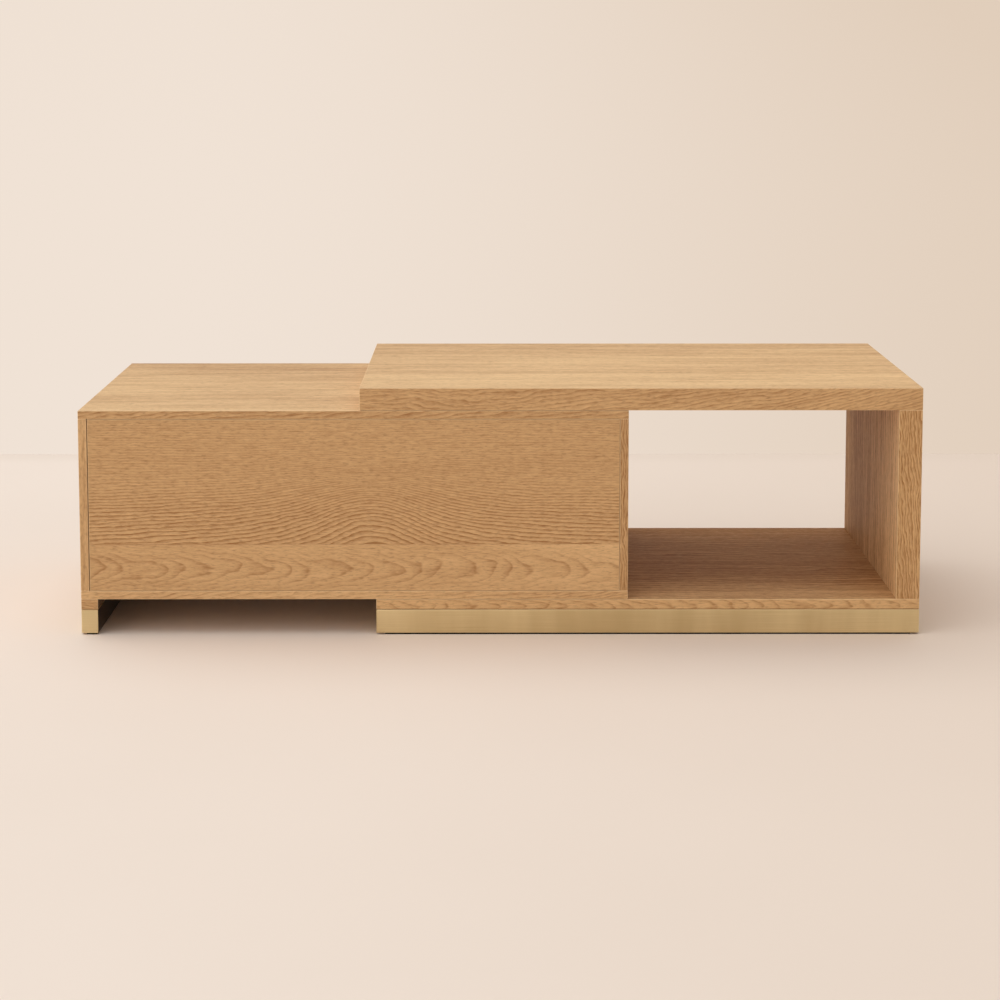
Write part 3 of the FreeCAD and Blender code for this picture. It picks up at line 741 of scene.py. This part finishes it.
class TABLE_OT_veneer_bridge(bpy.types.Operator):
    """Lay oak veneer on the top, the end panel and the base board."""

    bl_idname = "table.veneer_bridge"
    bl_label = "Veneer the bridge"

    def execute(self, context):
        oak = context.scene.table_oak
        figures = ("slanted", "straight", "slanted")
        # The tones and back shades below mix each board's own tone with painted light and shade: paler tops,
        # a darker base board in the bay, and faces that darken towards the back, most of all the end panel's
        # inner face.
        dress(oak_board("oak_top", oak, LENGTHWAYS, figures, 1.0, tones_and_shading=(0.07, -0.06, 0.0)), "top_panel")
        end = oak_board(
            "oak_end", oak, UPRIGHT, ("wavy", "straight", "broad", "straight"), 2.0,
            tones_and_shading=(0.0, 0.0, 0.0, -0.02), back_shades=(0.0, 0.25, 1.1, 0.25), gloss=0.08,
        )
        dress(end, "end_panel")
        low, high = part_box("base_board")
        middle = (low.z + high.z) / 2
        arches_drop = 0.004
        base = oak_board(
            "oak_base", oak, LENGTHWAYS, ("arches", "quiet", "arches"), 4.0,
            middles=(middle - arches_drop, 0.0, middle), tones_and_shading=(0.0, 0.23, 0.0), back_shades=(0.0, 0.8, 0.25),
            gloss=0.05, shadow=1.0, lamplight=False,
        )
        dress(base, "base_board")
        return {"FINISHED"}


class TABLE_OT_veneer_box(bpy.types.Operator):
    """Lay oak veneer on the boards of the box and on its foot rail."""

    bl_idname = "table.veneer_box"
    bl_label = "Veneer the box"

    def execute(self, context):
        oak = context.scene.table_oak
        # The tones mix each board's own tone with painted light by the way its faces look, such as paler
        # tops.
        for name, piece, grain, forwards, sideways, seed, tones_and_shading in (
            ("oak_box_top", "box_top", LENGTHWAYS, "leaning", "leaning", 5.0, (0.06, -0.06, 0.0)),
            ("oak_box_bottom", "box_bottom", LENGTHWAYS, "leaning", "leaning", 6.0, (-0.20, 0.0, 0.0)),
            ("oak_left_end", "box_left_end", UPRIGHT, "straight", "straight", 7.0, (-0.06, 0.0, 0.0)),
            ("oak_right_end", "box_right_end", UPRIGHT, "wavy", "straight", 8.0, (0.01, 0.0, 0.0)),
        ):
            figures = (forwards, "straight", sideways)
            dress(oak_board(name, oak, grain, figures, seed, tones_and_shading=tones_and_shading), piece)
        figures = ("arches", "straight", "straight")
        dress(oak_board("oak_back", oak, LENGTHWAYS, figures, 9.0, leaves=False), "box_back")
        foot = oak_board(
            "oak_foot", oak, LENGTHWAYS, ("slanted", "straight", "straight"), 10.0,
            tones_and_shading=(0.05, 0.0, 0.0), shadow=0.7, shade_inner_face=True,
        )
        dress(foot, "foot_rail")
        return {"FINISHED"}


class TABLE_OT_veneer_drawer_front(bpy.types.Operator):
    """Lay the two leaves of oak veneer on the drawer front."""

    bl_idname = "table.veneer_drawer_front"
    bl_label = "Veneer the drawer front"

    def execute(self, context):
        dress(oak_front("oak_drawer_front", context.scene.table_oak), "drawer_front")
        return {"FINISHED"}


class TABLE_OT_finish_drawer_box(bpy.types.Operator):
    """Lacquer the birch box of the drawer."""

    bl_idname = "table.finish_drawer_box"
    bl_label = "Finish the drawer box"

    def execute(self, context):
        wood = context.scene.table_box_wood
        long_way = plain_wood("birch_long", wood.birch, wood.birch_dark, wood, LENGTHWAYS, seed=1.0)
        dress(long_way, "drawer_inner_front", "drawer_back", "drawer_bottom")
        short_way = plain_wood("birch_short", wood.birch, wood.birch_dark, wood, CROSSWAYS, seed=5.0)
        dress(short_way, "drawer_left_side", "drawer_right_side")
        return {"FINISHED"}


class TABLE_OT_finish_frame_wood(bpy.types.Operator):
    """Plane the pine rails, corner blocks, foot core and tongues."""

    bl_idname = "table.finish_frame_wood"
    bl_label = "Finish the frame wood"

    def execute(self, context):
        wood = context.scene.table_box_wood
        long_way = plain_wood("pine_long", wood.pine, wood.pine_dark, wood, LENGTHWAYS, seed=2.0)
        dress(long_way, "plinth_front_rail", "plinth_back_rail")
        dress(
            plain_wood("pine_short", wood.pine, wood.pine_dark, wood, CROSSWAYS, seed=6.0),
            "plinth_left_rail", "plinth_middle_rail", "plinth_right_rail", "plinth_corner_blocks",
            "foot_core", "bridge_tongues", "box_tongues",
        )
        return {"FINISHED"}


class TABLE_OT_finish_brass(bpy.types.Operator):
    """Brush the brass of the plinth and the foot."""

    bl_idname = "table.finish_brass"
    bl_label = "Brush the brass"

    def execute(self, context):
        metal = context.scene.table_metal
        dress(
            brushed_brass("brass_plinth", metal, shade=0.62),
            "plinth_brass_front", "plinth_brass_back", "plinth_brass_left", "plinth_brass_right",
        )
        dress(brushed_brass("brass_foot", metal, shade=0.35, shade_brass_inner_face=True), "foot_brass_sleeve")
        return {"FINISHED"}


class TABLE_OT_finish_fittings(bpy.types.Operator):
    """Finish the tracks and the runners with their balls."""

    bl_idname = "table.finish_fittings"
    bl_label = "Finish the metal fittings"

    def execute(self, context):
        metal = context.scene.table_metal
        dress(drawn_aluminium("aluminium_drawn", metal), "front_track", "back_track")
        endings = ("cabinet_member", "outer_ball_cage", "middle_member", "inner_ball_cage", "drawer_member")
        members = [name for ending in endings for name in both(ending)]
        dress(zinc_plate("steel_zinc", metal), *members)
        return {"FINISHED"}


class TABLE_OT_finish_plastics(bpy.types.Operator):
    """Finish the nylon guides, strips and stops, the push latches, the glides and the bumpers."""

    bl_idname = "table.finish_plastics"
    bl_label = "Finish the plastic parts"

    def execute(self, context):
        plastic = context.scene.table_plastic
        dress(
            moulded("nylon_natural", plastic.nylon, plastic.roughness, dark_share=0.9),
            "front_guide_shoe", "back_guide_shoe", "guide_block", "top_slide_strips",
            "base_slide_strips", "box_slide_strips", "front_track_stop", "back_track_stop",
        )
        dress(
            moulded("plastic_latch", plastic.latch, plastic.roughness),
            *both("latch_body"), *both("latch_plunger"),
        )
        # The glides' dark colour is also painted shade for the contact shadow under the plinth.
        glide = moulded("plastic_glide", plastic.glide, plastic.roughness, gloss=0.0)
        dress(glide, "plinth_glides", "foot_glide")
        rubber = moulded("rubber_bumper", plastic.rubber, plastic.rubber_roughness, "coarse sparks")
        dress(rubber, "box_bumpers")
        return {"FINISHED"}


def select(*pieces):
    """Selects these pieces alone, in object mode, and makes the first one active."""
    if bpy.context.object and bpy.context.object.mode != "OBJECT":
        bpy.ops.object.mode_set(mode="OBJECT")
    bpy.ops.object.select_all(action="DESELECT")
    for piece in reversed(pieces):
        piece.select_set(True)
        bpy.context.view_layer.objects.active = piece


def newest(name):
    piece = bpy.context.object
    piece.name = name
    piece.data.name = name
    return piece


def cut_away(piece, cutter):
    """Takes the cutter's shape out of the piece."""
    select(piece)
    modifier = piece.modifiers.new("recess", "BOOLEAN")
    modifier.object = cutter
    modifier.solver = "EXACT"
    bpy.ops.object.modifier_apply(modifier=modifier.name)
    bpy.data.objects.remove(cutter)


# Shape of a screw head, in shares of its radius and its recess, and its turns along a row, in radians.
HEAD = Values(
    foot=0.45, rim=0.12, upwards=0.9, recess_foot=0.55, smooth_angle=math.radians(30),
    first_turn=0.3, turn=0.7,
)


def model_screw_head(fasteners):
    """One countersunk head that looks up, with a domed face and a tapered cross recess."""
    select()
    depth = fasteners.head_depth
    bpy.ops.mesh.primitive_cone_add(
        vertices=fasteners.facets, radius1=fasteners.head_radius * HEAD.foot,
        radius2=fasteners.head_radius, depth=depth, location=(0, 0, -depth / 2),
    )
    head = newest("screw_head")
    bpy.ops.object.mode_set(mode="EDIT")
    bpy.ops.mesh.select_all(action="DESELECT")
    bpy.ops.object.mode_set(mode="OBJECT")
    for face in head.data.polygons:
        face.select = face.normal.z > HEAD.upwards
    bpy.ops.object.mode_set(mode="EDIT")
    bpy.ops.mesh.select_mode(type="FACE")
    bpy.ops.mesh.inset(thickness=fasteners.head_radius * HEAD.rim)
    bpy.ops.transform.translate(value=(0, 0, fasteners.proud))
    bpy.ops.object.mode_set(mode="OBJECT")
    bpy.ops.object.transform_apply(location=True, rotation=True, scale=True)
    for turn in (0.0, math.pi / 2):
        select()
        bpy.ops.mesh.primitive_cube_add(size=1.0, location=(0, 0, 0))
        cutter = newest("recess_cutter")
        cutter.scale = (fasteners.recess_length, fasteners.recess_width, fasteners.recess_depth * 2)
        cutter.rotation_euler.z = turn
        bpy.ops.object.transform_apply(location=True, rotation=True, scale=True)
        for corner in cutter.data.vertices:
            if corner.co.z < 0:
                corner.co.x *= HEAD.recess_foot
                corner.co.y *= HEAD.recess_foot
        cut_away(head, cutter)
    select(head)
    bpy.ops.object.shade_smooth_by_angle(angle=HEAD.smooth_angle)
    return head


def row_of_screws(context, name, body, places, looking):
    """Copies of one screw head, turned to look the given way, joined into one piece."""
    pattern = model_screw_head(context.scene.table_fasteners)
    turn = Vector(looking).to_track_quat("Z", "Y").to_matrix().to_4x4()
    copies = []
    for number, place in enumerate(places):
        copy = pattern.copy()
        copy.data = pattern.data.copy()
        bpy.context.collection.objects.link(copy)
        spin = Matrix.Rotation(number * HEAD.turn + HEAD.first_turn, 4, "Z")
        copy.data.transform(Matrix.Translation(place) @ turn @ spin)
        copies.append(copy)
    bpy.data.objects.remove(pattern)
    select(*copies)
    if len(copies) > 1:
        bpy.ops.object.join()
    piece = newest(name)
    piece.data.materials.clear()
    piece.data.materials.append(bpy.data.materials["steel_zinc"])
    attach(piece, body)


# Thickness of the plates that heads sit on, in metres.
RUNNER_WEB = 0.0012
TRACK_ROOF = 0.0025
LATCH_PLATE = 0.003

# Rows of screws: the piece they hold, their body, the way the heads look, the axis the row runs along, the
# margin at its ends in metres, the number of screws, and the plate at the piece's far side that they sit on.
SCREW_ROWS = {
    "left_cabinet_member_screws": ("left_cabinet_member", "box", (1, 0, 0), "y", 0.035, 4, RUNNER_WEB),
    "left_drawer_member_screws": ("left_drawer_member", "drawer", (-1, 0, 0), "y", 0.045, 3, RUNNER_WEB),
    "right_cabinet_member_screws": ("right_cabinet_member", "box", (-1, 0, 0), "y", 0.035, 4, RUNNER_WEB),
    "right_drawer_member_screws": ("right_drawer_member", "drawer", (1, 0, 0), "y", 0.045, 3, RUNNER_WEB),
    "front_track_screws": ("front_track", "bridge", (0, 0, -1), "x", 0.04, 5, TRACK_ROOF),
    "back_track_screws": ("back_track", "bridge", (0, 0, -1), "x", 0.04, 5, TRACK_ROOF),
    "front_shoe_screws": ("front_guide_shoe", "box", (0, 0, 1), "x", 0.012, 2, None),
    "back_shoe_screws": ("back_guide_shoe", "box", (0, 0, 1), "x", 0.012, 2, None),
    "guide_block_screws": ("guide_block", "bridge", (0, 0, 1), "x", 0.012, 2, None),
    "left_latch_body_screws": ("left_latch_body", "box", (0, -1, 0), "x", 0.006, 2, LATCH_PLATE),
    "right_latch_body_screws": ("right_latch_body", "box", (0, -1, 0), "x", 0.006, 2, LATCH_PLATE),
}

# Distances of the drawer-front screws from the lower, upper and side edges of the inner front, in metres.
LOWER_ROW = 0.055
UPPER_ROW = 0.045
SIDE_MARGIN = 0.07


def spaced(low, high, margin, count):
    """Places from one end to the other, with a margin at both."""
    first = low + margin
    last = high - margin
    return [first + (last - first) * number / (count - 1) for number in range(count)]


class TABLE_OT_drive_screws(bpy.types.Operator):
    """Drive the screws of the runners, tracks, shoes, guide block, latches and drawer front."""

    bl_idname = "table.drive_screws"
    bl_label = "Drive the screws"

    def execute(self, context):
        for name, (piece, body, looking, axis, margin, count, plate) in SCREW_ROWS.items():
            low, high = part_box(piece)
            way = Vector(looking)
            middle = (low + high) / 2
            to_face = way * (high - low) / 2
            start = middle + to_face if plate is None else middle - to_face + way * plate
            places = []
            for along in spaced(getattr(low, axis), getattr(high, axis), margin, count):
                setattr(start, axis, along)
                places.append(start.copy())
            row_of_screws(context, name, body, places, looking)
        low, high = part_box("drawer_inner_front")
        rows = (low.z + LOWER_ROW, high.z - UPPER_ROW)
        places = [(x, high.y, z) for z in rows for x in spaced(low.x, high.x, SIDE_MARGIN, count=4)]
        row_of_screws(context, "drawer_front_screws", "drawer", places, (0, 1, 0))
        return {"FINISHED"}


# Tints, light and lamps of the stage. The corner tint is a painted shadow along the foot of the backdrop, and
# the high tint is painted shade higher up the backdrop. A pair says where a tint begins and where it is full.
ROOM = Values(
    corner=(0.0, 0.14), corner_tint=0.3, cloud_tint=0.3, dark_share=0.94, floor_roughness=0.85,
    high=(0.6, 1.9), high_slant=0.30, high_tint=0.14, horizon=(-0.35, 0.35),
    light=(1.0, 0.968, 0.932, 1.0), lamp_light=(1.0, 0.995, 0.985), lamp_distance=3,
    key_lamp=(-0.30, 0.10, 1.0), low_lamp=(-0.80, -0.75, 0.38), low_spread=0.7, frame_width=36.0,
)


class TABLE_OT_set_stage(bpy.types.Operator):
    """Lay the floor, hang the backdrop and the lamps, and stand the camera."""

    bl_idname = "table.set_stage"
    bl_label = "Set the stage"

    def execute(self, context):
        stage = context.scene.table_stage
        self.lay_floor(stage)
        self.hang_backdrop(stage)
        self.light_room(context, stage)
        self.stand_camera(context, stage)
        context.scene.view_settings.view_transform = "Standard"
        return {"FINISHED"}

    def lay_floor(self, stage):
        finish = Finish("floor_paint")
        x, y, _ = finish.parts("Object")
        clouds = finish.marks("floor clouds", (x, y, 0.0))
        # Painted shade: the floor darkens to the right, and a painted shadow runs along the foot of the
        # backdrop.
        corner = 1 - abs(y - stage.wall_place).between(*ROOM.corner)
        tone = finish.mix(stage.floor, stage.floor_shade, x.between(stage.shade_from, stage.shade_to))
        darker = tuple(part * ROOM.dark_share for part in stage.floor_shade)
        tone = finish.mix(tone, darker, clouds * ROOM.cloud_tint + corner * ROOM.corner_tint)
        inputs = {"Base Color": tone, "Roughness": ROOM.floor_roughness}
        self.hang_sheet("stage_floor", stage, (0, 0, 0), 0.0, finish.surface(inputs))

    def hang_backdrop(self, stage):
        """A glowing backdrop with painted shade, darker to the right and higher up, that only the camera and
        gloss see, and only from the front.
        """
        finish = Finish("backdrop_paint")
        x, _, z = finish.parts("Object")
        # Painted shade: the backdrop darkens higher up, and more so on the right.
        high = z.between(*ROOM.high)
        shade = x.between(stage.shade_from, stage.shade_to) * (high * ROOM.high_slant + 1)
        shade = shade + high * ROOM.high_tint
        tone = finish.mix(stage.wall, stage.wall_shade, shade)
        black = {"Base Color": (0, 0, 0, 1), "Specular IOR Level": 0.0, "Emission Strength": 1.0}
        glow = finish.read("ShaderNodeBsdfPrincipled", None, {**black, "Emission Color": tone})
        clear = finish.read("ShaderNodeBsdfTransparent")
        from_behind = finish.read("ShaderNodeNewGeometry", None, None, "Backfacing")
        either = finish.read("ShaderNodeMixShader", None, {0: from_behind, 1: glow, 2: clear})
        finish.add("ShaderNodeOutputMaterial", None, {"Surface": either})
        place = (0, stage.wall_place, stage.reach)
        sheet = self.hang_sheet("stage_backdrop", stage, place, math.pi / 2, finish.material)
        sheet.visible_diffuse = False
        sheet.visible_shadow = False

    def hang_sheet(self, name, stage, place, turn, material):
        select()
        bpy.ops.mesh.primitive_plane_add(size=2 * stage.reach, location=place, rotation=(turn, 0, 0))
        sheet = newest(name)
        bpy.ops.object.transform_apply(location=True, rotation=True, scale=True)
        sheet.data.materials.append(material)
        return sheet

    def light_room(self, context, stage):
        """Even light that is stronger from the front left, behind a plain tone that the camera sees."""
        world = bpy.data.worlds.new("room")
        context.scene.world = world
        room = Nodes(world)
        x, y, _ = room.parts("Generated")
        path = room.add("ShaderNodeLightPath")
        kinds = ("Is Camera Ray", "Is Glossy Ray", "Is Transmission Ray")
        camera, gloss, glass = (Reading(room, path.outputs[kind]) for kind in kinds)
        strength = x * -stage.ambient_left + y * -stage.ambient_front + stage.ambient
        even = room.read("ShaderNodeBackground", None, {"Color": ROOM.light, "Strength": strength})
        tone = room.mix(stage.wall, stage.wall_shade, x.between(*ROOM.horizon))
        plain = room.read("ShaderNodeBackground", None, {"Color": tone})
        seen = camera.most(gloss).most(glass)
        both_kinds = room.read("ShaderNodeMixShader", None, {0: seen, 1: even, 2: plain})
        room.add("ShaderNodeOutputWorld", None, {"Surface": both_kinds})
        self.hang_lamp("key_lamp", ROOM.key_lamp, stage.key_power, stage.key_spread)
        self.hang_lamp("low_lamp", ROOM.low_lamp, stage.low_power, stage.key_spread * ROOM.low_spread)

    def hang_lamp(self, name, towards, power, spread):
        lamp = bpy.data.lights.new(name, "SUN")
        lamp.energy = power
        lamp.angle = spread
        lamp.color = ROOM.lamp_light
        turn = Vector(towards).to_track_quat("Z", "Y").to_euler()
        self.stand(name, lamp, Vector(towards) * ROOM.lamp_distance, turn)

    def stand(self, name, data, place, turn):
        holder = bpy.data.objects.new(name, data)
        bpy.context.collection.objects.link(holder)
        holder.location = place
        holder.rotation_euler = turn
        return holder

    def stand_camera(self, context, stage):
        camera = bpy.data.cameras.new("camera")
        camera.lens = stage.lens
        camera.sensor_width = ROOM.frame_width
        camera.shift_y = stage.shift
        camera.dof.use_dof = False
        turn = (math.pi / 2 - stage.camera_pitch, 0, -stage.camera_yaw)
        context.scene.camera = self.stand("camera", camera, stage.camera_place, turn)


OPERATORS = (
    TABLE_OT_set_stage,
    TABLE_OT_veneer_bridge,
    TABLE_OT_veneer_box,
    TABLE_OT_veneer_drawer_front,
    TABLE_OT_finish_drawer_box,
    TABLE_OT_finish_frame_wood,
    TABLE_OT_finish_brass,
    TABLE_OT_finish_fittings,
    TABLE_OT_finish_plastics,
    TABLE_OT_drive_screws,
)


class TABLE_PT_sidebar(bpy.types.Panel):
    """The table's operators and settings."""

    bl_idname = "TABLE_PT_sidebar"
    bl_label = "Extendable coffee table"
    bl_space_type = "VIEW_3D"
    bl_region_type = "UI"
    bl_category = "Table"

    def draw(self, context):
        for operator in OPERATORS:
            self.layout.operator(operator.bl_idname)
        for name, group in SETTINGS.items():
            box = self.layout.box()
            box.label(text=group.__doc__)
            for setting in group.__annotations__:
                box.prop(getattr(context.scene, name), setting)


CLASSES = (*SETTINGS.values(), *OPERATORS, TABLE_PT_sidebar)


def register():
    for item in CLASSES:
        bpy.utils.register_class(item)
    for name, group in SETTINGS.items():
        setattr(bpy.types.Scene, name, PointerProperty(type=group))


def unregister():
    for name in SETTINGS:
        delattr(bpy.types.Scene, name)
    for item in reversed(CLASSES):
        bpy.utils.unregister_class(item)


def main():
    register()
    for operator in OPERATORS:
        group, name = operator.bl_idname.split(".")
        getattr(getattr(bpy.ops, group), name)()


if __name__ == "__main__":
    main()
